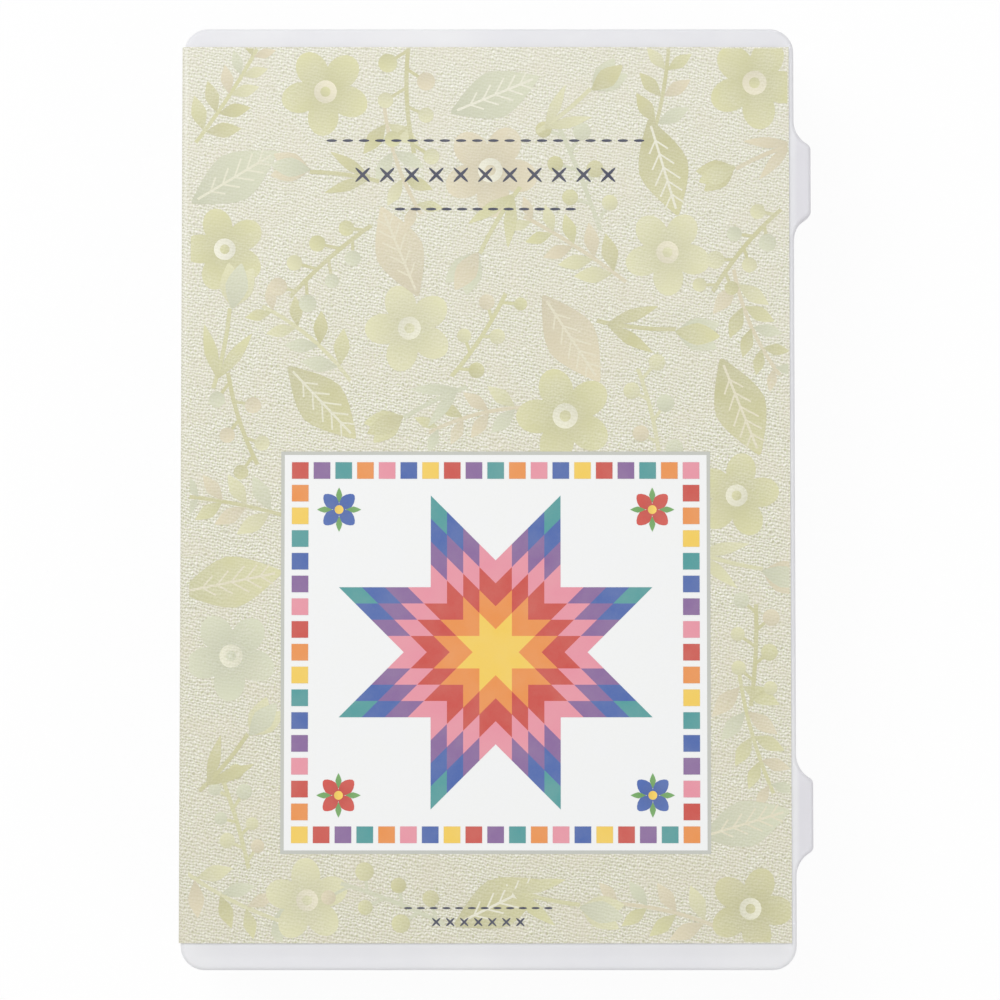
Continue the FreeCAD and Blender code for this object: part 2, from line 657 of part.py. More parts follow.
def bobbin_blank():
    """One flat bobbin standing on its bar ends: two round-ended bars and the waist between them."""
    body = new_body("bobbin_blank")
    bar = flat_sketch(body, "bar_outline", "XZ_Plane", "0")
    radius = "(dims.bobbin_bar / 2)"
    bar_x = f"(dims.bobbin_width / 2 - {radius})"
    low = radius
    high = f"(dims.bobbin_height - {radius})"
    x, z_low, z_high, r = value(bar_x), value(low), value(high), value(radius)
    line(bar, (x + r, z_low), (x + r, z_high))
    arc(bar, (x, z_high), r, 0, 180)
    line(bar, (x - r, z_high), (x - r, z_low))
    arc(bar, (x, z_low), r, 180, 360)
    for edge in range(4):
        hold(bar, "Tangent", edge, 2, (edge + 1) % 4, 1)
    hold(bar, "Vertical", 0)
    tie(bar, "end_radius", radius, "Radius", 1)
    tie(bar, "bar_across", bar_x, "DistanceX", -1, 1, 3, 3)
    tie(bar, "low_end", low, "DistanceY", -1, 1, 3, 3)
    tie(bar, "high_end", high, "DistanceY", -1, 1, 1, 3)
    right_bar = pad(body, bar, "dims.bobbin_thickness", "right_bar")
    both = body.newObject("PartDesign::Mirrored", "both_bars")
    both.Originals = [right_bar]
    both.MirrorPlane = (bar, ["V_Axis"])
    body.Tip = both
    doc.recompute()
    waist = flat_sketch(body, "waist_outline", "XZ_Plane", "0")
    half = f"(dims.bobbin_width / 2 - {radius})"
    bottom = "dims.bobbin_notch"
    top = "(dims.bobbin_height - dims.bobbin_notch)"
    corners = ((-value(half), value(bottom)), (value(half), value(bottom)),
               (value(half), value(top)), (-value(half), value(top)))
    for number in range(4):
        line(waist, corners[number], corners[(number + 1) % 4])
    for edge in range(4):
        hold(waist, "Coincident", edge, 2, (edge + 1) % 4, 1)
    for level_edge, upright_edge in ((0, 1), (2, 3)):
        hold(waist, "Horizontal", level_edge)
        hold(waist, "Vertical", upright_edge)
    tie(waist, "to_right", half, "DistanceX", -1, 1, 1, 1)
    tie(waist, "to_left", half, "DistanceX", 3, 1, -1, 1)
    tie(waist, "waist_low", bottom, "DistanceY", -1, 1, 0, 1)
    tie(waist, "waist_high", top, "DistanceY", -1, 1, 2, 1)
    joined = pad(body, waist, "dims.bobbin_thickness", "waist")
    inner_x = value("dims.bobbin_width / 2 - dims.bobbin_bar")
    heights = (value(bottom), value(top))

    def inner_corner(point):
        return near(abs(point.x), inner_x) and any(near(point.z, height) for height in heights)

    limit = "min(dims.bobbin_fillet; 0.8 * (dims.bobbin_notch - dims.bobbin_bar / 2))"
    round_edges(body, joined, limit, "inner_corners", inner_corner)
    return body


def bobbin_group(name, blank, column, count, lean, wall):
    """Bobbins that lean back in a fan, the first on the compartment's rear wall, each on the last."""
    height = value("dims.bobbin_height")
    thickness = value("dims.bobbin_thickness")
    gap = value("dims.bobbin_gap")
    x = value(f"{column_start(column)} + {COLUMN} / 2")
    z = value("dims.floor_thickness") + gap
    step = value("dims.lean_step")
    y = value(wall) - gap - height * math.sin(math.radians(lean))
    cards = []
    for number in range(count):
        card = blank.Shape.copy()
        turn = FreeCAD.Rotation(FreeCAD.Vector(1, 0, 0), -lean)
        card.Placement = FreeCAD.Placement(FreeCAD.Vector(x, y, z), turn)
        cards.append(card)
        opening = height * math.sin(math.radians(step)) + thickness + gap
        y -= opening / math.cos(math.radians(lean))
        lean += step
    group = doc.addObject("Part::Feature", name)
    group.Shape = Part.makeCompound(cards)
    return group


def bobbin_groups():
    """A fan in each compartment. The first lean differs a little from one to the next."""
    blank = bobbin_blank()
    rows = (("front", MIDDLE_DIVIDER, BOBBIN_COUNT),
            ("middle", REAR_DIVIDER, BOBBIN_COUNT),
            ("rear", REAR_FACE, REAR_BOBBIN_COUNT))
    groups = []
    for row_number, (row_name, wall, count) in enumerate(rows):
        for column in range(COLUMNS):
            if column == LONG_COLUMN_INDEX and row_name == "front":
                continue
            name, held = f"bobbins_{row_name}_{column + 1}", count
            if column == LONG_COLUMN_INDEX and row_name == "middle":
                name, held = f"bobbins_long_{column + 1}", LONG_BOBBIN_COUNT
            change = (3 * column + 2 * row_number) % 4
            lean = value("dims.lean_first") + change * value("dims.lean_change")
            groups.append(bobbin_group(name, blank, column, held, lean, wall))
    return groups


pieces = [base_tray(), lid()] + hinge_pins()
for clip_label, clip_sign in sides_of("latch_clip"):
    pieces.append(latch_clip(clip_label, clip_sign))
pieces += [printed_card(), reference_chart()]
pieces += bobbin_groups()
for piece in pieces:
    piece.Label = piece.Name
doc.recompute()

for item in doc.Objects:
    if "Invalid" in item.State or "Error" in item.State:
        raise RuntimeError(f"{item.Name} failed: {item.State}")
for piece in pieces:
    if piece.Shape.isNull() or not piece.Shape.isValid():
        raise RuntimeError(f"{piece.Label} has no valid shape")

os.makedirs("parts", exist_ok=True)
for piece in pieces:
    piece.Shape.exportStep(f"parts/{piece.Label}.step")
    box = piece.Shape.BoundBox
    print(f"{piece.Label}: {len(piece.Shape.Solids)} solids, {piece.Shape.Volume:.0f} mm3,"
          f" {box.XLength:.1f} x {box.YLength:.1f} x {box.ZLength:.1f} mm")
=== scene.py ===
# %% [markdown]
# # A bobbin box, dressed around its CAD frame
# The object is a flat frosted box for a needleworker's bobbins. A lid with a printed card on it covers
# a tray with 17 compartments, which hold 100 paper bobbins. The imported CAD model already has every
# solid at its true size, so this lesson loads it as a fixed frame and gives it its looks: finishes for
# the solids, the print on the card and the ruling of the chart inside the lid.

# %% Load the frame
import math
import random

import bmesh
import bpy
from mathutils import Matrix, Vector


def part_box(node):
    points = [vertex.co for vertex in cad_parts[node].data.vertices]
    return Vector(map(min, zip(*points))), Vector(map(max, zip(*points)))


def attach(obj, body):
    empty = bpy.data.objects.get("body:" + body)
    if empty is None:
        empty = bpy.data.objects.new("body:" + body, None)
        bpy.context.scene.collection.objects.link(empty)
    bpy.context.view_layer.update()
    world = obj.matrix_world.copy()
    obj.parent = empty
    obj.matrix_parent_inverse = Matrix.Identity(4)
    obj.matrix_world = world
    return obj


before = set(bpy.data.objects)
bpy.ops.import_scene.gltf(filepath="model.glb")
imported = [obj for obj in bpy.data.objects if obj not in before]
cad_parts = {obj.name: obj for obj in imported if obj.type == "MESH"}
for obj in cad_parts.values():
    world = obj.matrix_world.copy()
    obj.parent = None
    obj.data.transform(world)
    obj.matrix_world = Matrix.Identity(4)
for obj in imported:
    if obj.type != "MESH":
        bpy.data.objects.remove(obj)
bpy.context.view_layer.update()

# %% [markdown]
# ## The camera
# The box is seen from almost straight above, with its long side upright in the picture: the top of
# the picture is +X and its right side is -Y. The lid's length covers a known number of pixel rows,
# which gives the size of one pixel on the lid. The lower edge of the box looks a little longer than
# the upper one, so the camera stands slightly towards that edge. It could also be turned with Euler
# angles, but a view axis and an up axis say more plainly what is meant.

# %% Camera
FRAME_PIXELS = 1000
LID_FIRST_ROW, LID_LAST_ROW = 28, 971
LID_MIDDLE_COLUMN, LID_MIDDLE_ROW = 488.75, 496.5
VIEW_DISTANCE = 1.0
VIEW_LEAN = math.radians(2.7)
PICTURE_UP = Vector((1, 0, 0))

lid_low, lid_high = (Vector(corner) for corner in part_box("lid"))
pixel = (lid_high.x - lid_low.x) / (LID_LAST_ROW - LID_FIRST_ROW)
half_frame = FRAME_PIXELS / 2
aim = Vector(((LID_MIDDLE_ROW - half_frame) * pixel,
              (LID_MIDDLE_COLUMN - half_frame) * pixel,
              lid_high.z))
toward = Vector((math.sin(VIEW_LEAN), 0, -math.cos(VIEW_LEAN)))
rightward = toward.cross(PICTURE_UP).normalized()
upward = rightward.cross(toward)

camera_data = bpy.data.cameras.new("camera")
camera_data.sensor_fit = "HORIZONTAL"
camera_data.angle = 2 * math.atan(half_frame * pixel / VIEW_DISTANCE)
camera = bpy.data.objects.new("camera", camera_data)
camera.matrix_world = (Matrix.Translation(aim - toward * VIEW_DISTANCE)
                       @ Matrix((rightward, upward, -toward)).transposed().to_4x4())
scene = bpy.context.scene
scene.collection.objects.link(camera)
scene.camera = camera
scene.view_settings.view_transform = "Standard"
print(f"camera: one pixel is {pixel * 1000:.4f} mm on the lid, lens {camera_data.lens:.1f} mm")

# %% [markdown]
# ## Colours and shader nodes
# Colours are written as they look on a screen, from 0 to 255. Blender works in linear light, where a
# middle grey is about a fifth of white, so a helper turns one into the other.

# %% Screen colours


def paint(red, green, blue):
    """A screen colour as linear red, green, blue and alpha, by the curve that screens use."""
    linear = []
    for part in (red / 255, green / 255, blue / 255):
        linear.append(part / 12.92 if part <= 0.04045 else ((part + 0.055) / 1.055) ** 2.4)
    return (*linear, 1.0)


print(f"a screen grey of 128 is {paint(128, 128, 128)[0]:.3f} in linear light")

# %% [markdown]
# A procedural finish is a small network of nodes. Writing every link by hand hides the idea, so a few
# helpers do the wiring: one fills a node's inputs with links or plain numbers, one makes a node, one
# does a calculation, and one starts a material.

# %% Node helpers


def feed(tree, node, sources):
    """Fills a node's inputs, each with a link from an output or with a value of its own."""
    for socket, source in sources.items():
        if isinstance(source, bpy.types.NodeSocket):
            tree.links.new(source, node.inputs[socket])
        else:
            node.inputs[socket].default_value = source


def add(tree, kind, sources=None, **options):
    """A new node with its options set and its inputs filled."""
    node = tree.nodes.new(kind)
    for option, setting in options.items():
        setattr(node, option, setting)
    feed(tree, node, sources or {})
    return node


def maths(tree, operation, first, second=0.0):
    """The result of one operation on one or two values."""
    return add(tree, "ShaderNodeMath", {0: first, 1: second}, operation=operation).outputs[0]


def new_finish(name):
    """A new material, its node tree and its shader."""
    material = bpy.data.materials.new(name)
    material.use_nodes = True
    tree = material.node_tree
    shader = next(node for node in tree.nodes if node.type == "BSDF_PRINCIPLED")
    return material, tree, shader


print("node helpers: feed, add, maths and new_finish")

# %% [markdown]
# ## Floor and light
# The box lies on a white studio floor. A pure white floor could be had with strong lamps, but they
# would bleach the pale plastic too. So the floor is a plain white surface that adds some glow of its
# own only where the camera looks at it, straight, in a reflection or through the plastic, and the
# object's soft shadow stays on it.

# %% Floor finish
FLOOR_COLOUR = paint(244, 244, 244)
FLOOR_GLOW = 0.94
WHITE_LIGHT = (1, 1, 1, 1)


def seen_directly(tree):
    """One for rays from the camera, also after a reflection or through see-through plastic."""
    rays = tree.nodes.new("ShaderNodeLightPath")
    straight_or_mirrored = maths(tree, "MAXIMUM", rays.outputs["Is Camera Ray"],
                                 rays.outputs["Is Glossy Ray"])
    return maths(tree, "MAXIMUM", straight_or_mirrored, rays.outputs["Is Transmission Ray"])


def show_mixed(tree, share, first, second):
    """Mixes two shader nodes and sends the mix to the output."""
    both = add(tree, "ShaderNodeMixShader", {0: share, 1: first.outputs[0], 2: second.outputs[0]})
    output = next(node for node in tree.nodes if node.type in ("OUTPUT_MATERIAL", "OUTPUT_WORLD"))
    feed(tree, output, {"Surface": both.outputs[0]})


def floor_finish():
    """A white surface that glows where the camera sees it."""
    material, tree, shader = new_finish("white_floor")
    feed(tree, shader, {"Base Color": FLOOR_COLOUR, "Roughness": 0.9, "Specular IOR Level": 0.1})
    glow = add(tree, "ShaderNodeEmission", {"Color": WHITE_LIGHT, "Strength": 1.0})
    show_mixed(tree, maths(tree, "MULTIPLY", seen_directly(tree), FLOOR_GLOW), shader, glow)
    return material


white_floor = floor_finish()
print("finish:", white_floor.name)

# %% [markdown]
# The floor itself is a square of a single face. Every piece in this lesson is made in the same way: a
# bmesh holds its points where they belong, in metres, and its object stays at the origin, unturned and
# unscaled. The floor lies a fifth of a millimetre under the box, so that no two faces share a plane.

# %% Floor
FLOOR_HALF = 2.5
FLOOR_DROP = 0.0002


def new_piece(name, bm, material):
    """Makes an object at the origin from a bmesh whose place is in its points."""
    mesh = bpy.data.meshes.new(name)
    bm.to_mesh(mesh)
    bm.free()
    mesh.materials.append(material)
    piece = bpy.data.objects.new(name, mesh)
    scene.collection.objects.link(piece)
    return piece


floor_mesh = bmesh.new()
bmesh.ops.create_grid(floor_mesh, x_segments=1, y_segments=1, size=FLOOR_HALF,
                      matrix=Matrix.Translation((0, 0, -FLOOR_DROP)))
floor = new_piece("floor", floor_mesh, white_floor)
print("floor:", 2 * FLOOR_HALF, "m wide")

# %% [markdown]
# The light is a white room and two large lamps. The room gives most of it, so that shadows stay soft.
# The larger lamp stands towards the upper left of the picture, where the pale plastic is a little
# brighter, and a weaker one opposite keeps the far side open. Their strengths are chosen so that a
# colour renders about as it is written.

# %% Light
ROOM_LIGHT = 0.6


def white_room():
    """A room that gives an even light and looks pure white."""
    world = bpy.data.worlds.new("white_room")
    world.use_nodes = True
    tree = world.node_tree
    lit = next(node for node in tree.nodes if node.type == "BACKGROUND")
    feed(tree, lit, {"Color": WHITE_LIGHT, "Strength": ROOM_LIGHT})
    seen = add(tree, "ShaderNodeBackground", {"Color": WHITE_LIGHT, "Strength": 1.0})
    show_mixed(tree, seen_directly(tree), lit, seen)
    return world


def soft_lamp(name, place, width, power):
    """A square lamp that looks at the middle of the box."""
    data = bpy.data.lights.new(name, "AREA")
    data.size = width
    data.energy = power
    lamp = bpy.data.objects.new(name, data)
    lamp.location = place
    lamp.rotation_euler = (-Vector(place)).to_track_quat("-Z", "Y").to_euler()
    scene.collection.objects.link(lamp)
    return lamp


scene.world = white_room()
lamps = (soft_lamp("large_lamp", place=(0.75, 0.7, 1.4), width=1.1, power=14.0),
         soft_lamp("small_lamp", place=(-0.8, -0.9, 1.1), width=0.8, power=4.0))
print("light: a white room,", " and ".join(f"{lamp.name} of {lamp.data.energy} W" for lamp in lamps))

# %% [markdown]
# ## Shared grain
# Moulded plastic, paper and card all have a fine irregular grain on top of slow cloudy changes. That
# effect is built once as a node group with two scales: how fine the grain is, and how large the clouds
# are. Each finish then decides what the grain and the clouds change. Painting a texture image would
# also work, but noise stays sharp at any distance and needs no file.

# %% Noise and groups


def noise(tree, place, scale, detail=2.0, roughness=0.5):
    """Smooth noise over a place, about 0.5 on average."""
    return add(tree, "ShaderNodeTexNoise", {"Vector": place, "Scale": scale, "Detail": detail,
                                            "Roughness": roughness}).outputs[0]


def spread(tree, value, low, high, to_low=0.0, to_high=1.0):
    """Stretches one range of values to another, and clamps it there."""
    return add(tree, "ShaderNodeMapRange", {"Value": value, "From Min": low, "From Max": high,
                                            "To Min": to_low, "To Max": to_high}).outputs["Result"]


def new_group(name, inputs, outputs):
    """A node group with named sockets, and the nodes where values come in and go out."""
    group = bpy.data.node_groups.new(name, "ShaderNodeTree")
    for in_out, sockets in (("INPUT", inputs), ("OUTPUT", outputs)):
        for socket, kind in sockets.items():
            group.interface.new_socket(socket, in_out=in_out, socket_type="NodeSocket" + kind)
    return group, group.nodes.new("NodeGroupInput"), group.nodes.new("NodeGroupOutput")


print("noise helpers: noise, spread and new_group")

# %% [markdown]
# The group takes a place and the two scales, and gives clouds and grain from 0 to 1. Noise seldom
# strays far from its middle value, so both are stretched. A finish hands in Object coordinates, which
# stay with the piece when it moves.

# %% Grain group
CLOUD_RANGE, GRAIN_RANGE = (0.3, 0.7), (0.25, 0.75)


def grain_group():
    """A group with the outputs Clouds, slow changes, and Grain, fine ones, both from 0 to 1."""
    group, entry, leave = new_group(
        "grain_and_clouds",
        {"Grain Scale": "Float", "Cloud Scale": "Float", "Place": "Vector"},
        {"Clouds": "Float", "Grain": "Float"})
    place = entry.outputs["Place"]
    clouds = noise(group, place, entry.outputs["Cloud Scale"], detail=3.0)
    grain = noise(group, place, entry.outputs["Grain Scale"], roughness=0.6)
    feed(group, leave, {"Clouds": spread(group, clouds, *CLOUD_RANGE),
                        "Grain": spread(group, grain, *GRAIN_RANGE)})
    return group


shared_grain = grain_group()


def object_place(tree):
    """Coordinates in metres in the piece's own frame, which travel with it."""
    return tree.nodes.new("ShaderNodeTexCoord").outputs["Object"]


def grained(tree, grain_scale, cloud_scale, place=None):
    """Places the grain group in a material and gives its two outputs."""
    node = add(tree, "ShaderNodeGroup", {"Place": place or object_place(tree),
                                         "Grain Scale": grain_scale, "Cloud Scale": cloud_scale},
               node_tree=shared_grain)
    return node.outputs["Clouds"], node.outputs["Grain"]


print("group:", shared_grain.name, "with", len(shared_grain.nodes), "nodes")

# %% [markdown]
# ## Helpers for finishes
# Each finish on the box mixes two or more tones, lets its roughness wander between two values and has
# a slight relief. A few more helpers do that, and one puts the finish on the CAD solids. The mesh of a
# solid is never changed, only the material in its slots.

# %% Finish helpers


def mix(tree, share, first, second):
    """A colour between two others. The Mix node has its colours at inputs 6 and 7 and output 2."""
    return add(tree, "ShaderNodeMix", {0: share, 6: first, 7: second}, data_type="RGBA").outputs[2]


def between(tree, share, first, second):
    """A value between two others."""
    return spread(tree, share, 0, 1, first, second)


def axes_of(tree, vector):
    """The parts X, Y and Z of a place or a direction."""
    return add(tree, "ShaderNodeSeparateXYZ", {0: vector}).outputs


def bump(tree, height, distance, strength):
    """Normals of a relief of so many metres."""
    return add(tree, "ShaderNodeBump", {"Height": height, "Distance": distance,
                                        "Strength": strength}).outputs[0]


def dress(material, *node_names):
    """Puts a finish on CAD nodes by their material slots."""
    for node_name in node_names:
        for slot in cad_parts[node_name].material_slots:
            slot.material = material


print("finish helpers: mix, between, axes_of, bump and dress")

# %% [markdown]
# ## Frosted plastic
# Tray, lid and clips are moulded from milky polypropylene. It lets light through but no clear view:
# one sees the dividers and bobbins behind a wall only as soft shapes. Plain white plastic would hide
# them, and clear glass would show too much. So the shader transmits part of the light through a rough
# surface, with a faint cool tint, a fine moulded grain and slow changes of gloss. The lid and the clips
# are backed by other layers and look denser, so they transmit less than the walls of the tray, and
# through a rougher surface. The brows over the clips reach out past the lid with nothing under them,
# and a painted shade makes their tone a little darker.

# %% Frosted plastic
PLASTIC_IOR = 1.49
GLOSS_CHANGE = 0.05
LID_RIM = 0.0015
BROW_SHADE_BLEND = 0.001

card_low, card_high = (Vector(corner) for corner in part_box("printed_card"))
lid_front = card_low.y - LID_RIM


def frosted_finish(name, bright, dull, see_through, rough, brow_shade=None):
    """Milky plastic, with a painted shade past the lid's front if a darker tone is given for the brows."""
    material, tree, shader = new_finish(name)
    clouds, grain = grained(tree, grain_scale=2600.0, cloud_scale=38.0)
    plastic = mix(tree, clouds, dull, bright)
    if brow_shade:
        across = axes_of(tree, object_place(tree))["Y"]
        # Painted shade: past the lid's front the brows get a darker tone.
        plastic = mix(tree, spread(tree, across, lid_front, lid_front - BROW_SHADE_BLEND), plastic, brow_shade)
    feed(tree, shader, {
        "Base Color": plastic,
        "Roughness": between(tree, clouds, rough + GLOSS_CHANGE, rough - GLOSS_CHANGE),
        "Normal": bump(tree, grain, distance=0.00003, strength=0.35),
        "Transmission Weight": see_through,
        "IOR": PLASTIC_IOR,
        "Specular IOR Level": 0.4})
    return material


# The lid's darker brow tone is painted shade.
frosted_lid = frosted_finish("frosted_lid", paint(247, 247, 249), paint(240, 240, 244),
                             see_through=0.19, rough=0.45, brow_shade=paint(235, 234, 239))
frosted_tray = frosted_finish("frosted_tray", paint(254, 254, 255), paint(249, 249, 253),
                              see_through=0.54, rough=0.34)
latch_plastic = frosted_finish("latch_plastic", paint(238, 238, 242), paint(231, 231, 236),
                               see_through=0.25, rough=0.45)
dress(frosted_lid, "lid")
dress(frosted_tray, "base_tray")
dress(latch_plastic, "latch_clip_left", "latch_clip_right")
print("finishes:", frosted_lid.name, frosted_tray.name, latch_plastic.name)

# %% [markdown]
# ## Hinge pins
# The two pins are short pieces of drawn steel wire. Drawing leaves fine lines along the wire. They
# could be modelled as grooves, but they are far finer than a mesh needs to be. So the noise is
# stretched along X, which is the axis of both pins, and it changes the tone, the gloss and the relief.

# %% Hinge pins
WIRE_STRETCH = (0.03, 1.0, 1.0)
STEEL_DARK, STEEL_LIGHT = paint(168, 170, 174), paint(204, 206, 209)


def stretch(tree, place, scale):
    """Coordinates stretched along the axes."""
    return add(tree, "ShaderNodeMapping", {"Vector": place, "Scale": scale}).outputs[0]


def steel_finish():
    """Grey metal with fine lines along the wire."""
    material, tree, shader = new_finish("drawn_steel")
    along_wire = stretch(tree, object_place(tree), WIRE_STRETCH)
    clouds, drawn = grained(tree, grain_scale=9000.0, cloud_scale=700.0, place=along_wire)
    feed(tree, shader, {
        "Base Color": mix(tree, drawn, STEEL_DARK, STEEL_LIGHT),
        "Roughness": between(tree, clouds, 0.22, 0.4),
        "Normal": bump(tree, drawn, distance=0.00001, strength=0.5),
        "Metallic": 1.0})
    return material


drawn_steel = steel_finish()
dress(drawn_steel, "hinge_pin_left", "hinge_pin_right")
print("finish:", drawn_steel.name)

# %% [markdown]
# ## Paper
# The bobbins are die-cut from white board, and the chart is a sheet of white paper. Neither is a flat
# white: pressed fibres make a faint mottle, and the surface is matt with a very low relief. The same
# finish serves both with other values, with coarser fibres and more relief for the board.

# %% Bobbins and chart
CLOUD_SHARE, FIBRE_SHARE = 0.45, 0.55


def paper_finish(name, light, dark, fibre_scale, relief):
    """Matt white paper with a faint mottle of fibres."""
    material, tree, shader = new_finish(name)
    clouds, fibres = grained(tree, grain_scale=fibre_scale, cloud_scale=60.0)
    mottle = maths(tree, "ADD", maths(tree, "MULTIPLY", clouds, CLOUD_SHARE),
                   maths(tree, "MULTIPLY", fibres, FIBRE_SHARE))
    feed(tree, shader, {
        "Base Color": mix(tree, mottle, dark, light),
        "Roughness": between(tree, fibres, 0.72, 0.9),
        "Normal": bump(tree, fibres, distance=relief, strength=0.4),
        "Specular IOR Level": 0.3})
    return material


bobbin_nodes = sorted(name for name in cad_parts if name.startswith("bobbins_"))
bobbin_board = paper_finish("bobbin_board", paint(253, 253, 252), paint(242, 242, 242),
                            fibre_scale=1500.0, relief=0.00004)
chart_paper = paper_finish("chart_paper", paint(250, 250, 250), paint(243, 243, 242),
                           fibre_scale=2200.0, relief=0.00002)
dress(bobbin_board, *bobbin_nodes)
dress(chart_paper, "reference_chart")
print("paper:", len(bobbin_nodes), "bobbin nodes and the chart")

# %% [markdown]
# ## Canvas
# The card on the lid is printed all over with unbleached canvas in plain weave: weft threads in rows,
# warp threads across them, and each thread over one neighbour and under the next. A brick texture
# comes close, but its joints are too neat. So the weave is three waves of light and dark: one across
# the rows, one across the columns, and one at half the pace along the diagonal, which tells over from
# under. Noise bends the threads and makes the yarn uneven.

# %% Woven threads
WEFT_PITCH, WARP_PITCH = 0.000914, 0.000819
WEFT_BENDS, WARP_BENDS = 110.0, 140.0
WEFT_DEPTH, WARP_DEPTH, CROSSING_DEPTH = 0.27, 0.13, 0.11
BEND, YARN_CHANGE, YARN_PACE = 0.8, 0.42, 7
NOISE_RANGE, WEAVE_RANGE = (0.2, 0.8), (-0.5, 0.5)
WEAVE_TURN = math.radians(9.3)
YARN_SHADE, YARN_LIGHT = paint(172, 171, 141), paint(251, 251, 243)


def wave(tree, turns, height):
    """A cosine of the given height over a number of turns."""
    angle = maths(tree, "MULTIPLY", turns, 2 * math.pi)
    return maths(tree, "MULTIPLY", maths(tree, "COSINE", angle), height)


def threads(tree, place, way, pitch, bend_scale):
    """How many threads of one pitch lie up to a place, with threads that bend a little."""
    slow, quick = noise(tree, place, bend_scale), noise(tree, place, YARN_PACE * bend_scale, detail=1.0)
    bend = spread(tree, slow, *NOISE_RANGE, -BEND, BEND)
    uneven = spread(tree, quick, *NOISE_RANGE, -YARN_CHANGE, YARN_CHANGE)
    return maths(tree, "ADD", maths(tree, "DIVIDE", way, pitch), maths(tree, "ADD", bend, uneven))


def woven_colour(tree, place):
    """The light and dark of the weave at a place."""
    turned = add(tree, "ShaderNodeMapping", {"Vector": place, "Rotation": (0, 0, WEAVE_TURN)})
    axes = axes_of(tree, turned.outputs[0])
    weft = threads(tree, place, axes["X"], WEFT_PITCH, WEFT_BENDS)
    warp = threads(tree, place, axes["Y"], WARP_PITCH, WARP_BENDS)
    crossing = maths(tree, "MULTIPLY", maths(tree, "ADD", weft, warp), 0.5)
    across = maths(tree, "ADD", wave(tree, weft, WEFT_DEPTH), wave(tree, warp, WARP_DEPTH))
    weave = maths(tree, "ADD", across, wave(tree, crossing, CROSSING_DEPTH))
    return mix(tree, spread(tree, weave, *WEAVE_RANGE), YARN_SHADE, YARN_LIGHT)


print(f"weave: {0.01 / WEFT_PITCH:.1f} rows and {0.01 / WARP_PITCH:.1f} columns of threads in a centimetre")

# %% [markdown]
# Undyed yarn isn't one colour. Single threads are a little pink or green, some stretches are thick and
# greyish, and the cloth as a whole has warmer and cooler places. Each of these is one more noise that
# mixes in one more tone. Light and shade are also painted in: the canvas is a little paler towards the
# +X end of the card, as painted light, and darker towards the -X end, as painted shade. The card and the
# ink on it both show the canvas, so it is a group.

# %% Canvas group
TINT_SCALE, SLUB_SCALE, WARMTH_SCALE = 1500.0, 420.0, 95.0
SLUB_STRETCH = (1.0, 0.2, 1.0)
PINKISH, GREENISH = paint(224, 207, 202), paint(208, 211, 152)
SLUB_TONE, WARM_TONE = paint(205, 202, 178), paint(219, 210, 190)
PAINTED_LIGHT_END, PAINTED_SHADE_END = paint(231, 230, 219), paint(190, 182, 156)


def canvas_group():
    """A group that gives the colour of printed canvas from a place on the card."""
    group, entry, leave = new_group("printed_canvas", {"Place": "Vector"}, {"Canvas": "Color"})
    place = entry.outputs["Place"]
    tint = noise(group, place, TINT_SCALE, detail=1.0)
    slub = noise(group, stretch(group, place, SLUB_STRETCH), SLUB_SCALE, detail=3.0, roughness=0.65)
    warmth = noise(group, place, WARMTH_SCALE)
    along = axes_of(group, place)["X"]
    canvas = woven_colour(group, place)
    for value, none_at, most_at, most, tone in (
            (tint, 0.5, 0.75, 0.4, PINKISH),
            (tint, 0.5, 0.25, 0.45, GREENISH),
            (slub, 0.38, 0.66, 0.2, SLUB_TONE),
            (warmth, 0.42, 0.7, 0.3, WARM_TONE),
            # Painted light towards the +X end of the card and painted shade towards the -X end.
            (along, 0.0, card_high.x, 0.22, PAINTED_LIGHT_END),
            (along, 0.0, card_low.x, 0.13, PAINTED_SHADE_END)):
        canvas = mix(group, spread(group, value, none_at, most_at, 0.0, most), canvas, tone)
    feed(group, leave, {"Canvas": canvas})
    return group


shared_canvas = canvas_group()


def canvas_colour(tree, place):
    """Places the canvas group in a material and gives its colour."""
    return add(tree, "ShaderNodeGroup", {"Place": place}, node_tree=shared_canvas).outputs["Canvas"]


print("group:", shared_canvas.name, "with", len(shared_canvas.nodes), "nodes")

# %% [markdown]
# ## The printed card
# A thin card covers the lid and is folded down over the hinge edge. It could be a sheet with a picture
# on it, but then its cut edges would be printed too. Here its solid stays as it is, and the finish asks
# which way a face looks: upward and rearward faces have ink, and cut edges and the inside show the
# white paper. The print is flat, so the weave is colour only.
#
# The sheet is printed before it is folded, so the place in the print is counted on down the flap. Along
# the fold a pale line is painted over the ink, stronger towards one end.

# %% Fold
FOLD_INSET, FOLD_LINE_HALF_WIDTH = 0.0012, 0.0007
FOLD_LINE_FROM, FOLD_LINE_TO, FOLD_LINE_SHARE = -0.01, 0.1, 0.24

fold_line = card_high.y - FOLD_INSET


def unrolled(tree, axes):
    """The place on the card before it was folded, where the way down the flap leads straight on."""
    drop = maths(tree, "SUBTRACT", card_high.z, axes["Z"])
    return add(tree, "ShaderNodeCombineXYZ", {"X": axes["X"],
                                              "Y": maths(tree, "ADD", axes["Y"], drop)}).outputs[0]


def fold_pale_share(tree, axes):
    """How much of a pale line is painted over the ink, most on the fold itself and towards one end."""
    off_fold = maths(tree, "ABSOLUTE", maths(tree, "SUBTRACT", axes["Y"], fold_line))
    near_fold = spread(tree, off_fold, 0.0, FOLD_LINE_HALF_WIDTH, 1.0, 0.0)
    return maths(tree, "MULTIPLY", near_fold, spread(tree, axes["X"], FOLD_LINE_FROM, FOLD_LINE_TO, 0.0, FOLD_LINE_SHARE))


print(f"fold: {fold_line * 1000:.1f} mm behind the middle of the box")

# %% Printed card
FOLD_LINE_TONE = paint(250, 250, 248)
CORE_DARK, CORE_LIGHT = paint(240, 239, 234), paint(250, 250, 247)
PRINTED_TILT = 0.4


